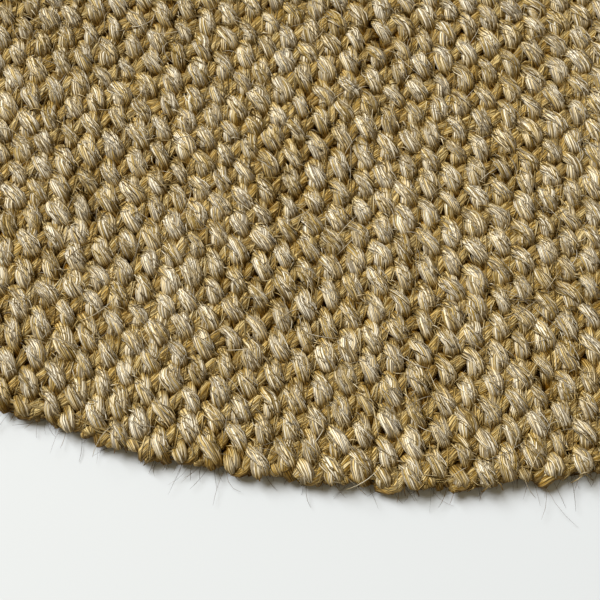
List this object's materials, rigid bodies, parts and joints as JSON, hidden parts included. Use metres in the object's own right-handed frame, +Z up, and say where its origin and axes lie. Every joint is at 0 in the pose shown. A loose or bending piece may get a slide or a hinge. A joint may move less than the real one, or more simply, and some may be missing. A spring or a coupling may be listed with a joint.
{
  "type": "round sisal rug",
  "caption": "Round rug woven flat from thick two-ply sisal yarn, with a plain cut edge, lying flat on the floor.",
  "frame": {"origin": "middle of the flat underside, on the floor", "axes": "+Z up through the thickness, +X along the weft yarns, +Y along the warp yarns"},
  "size_m": [1.003, 1, 0.0105],
  "materials": {
    "sisal": "thick two-ply sisal yarn in a plain weave, straw to brown, with a soft sheen along the fibres"
  },
  "bodies": {
    "root": {"rug": "sisal"}
  },
  "joints": []
}
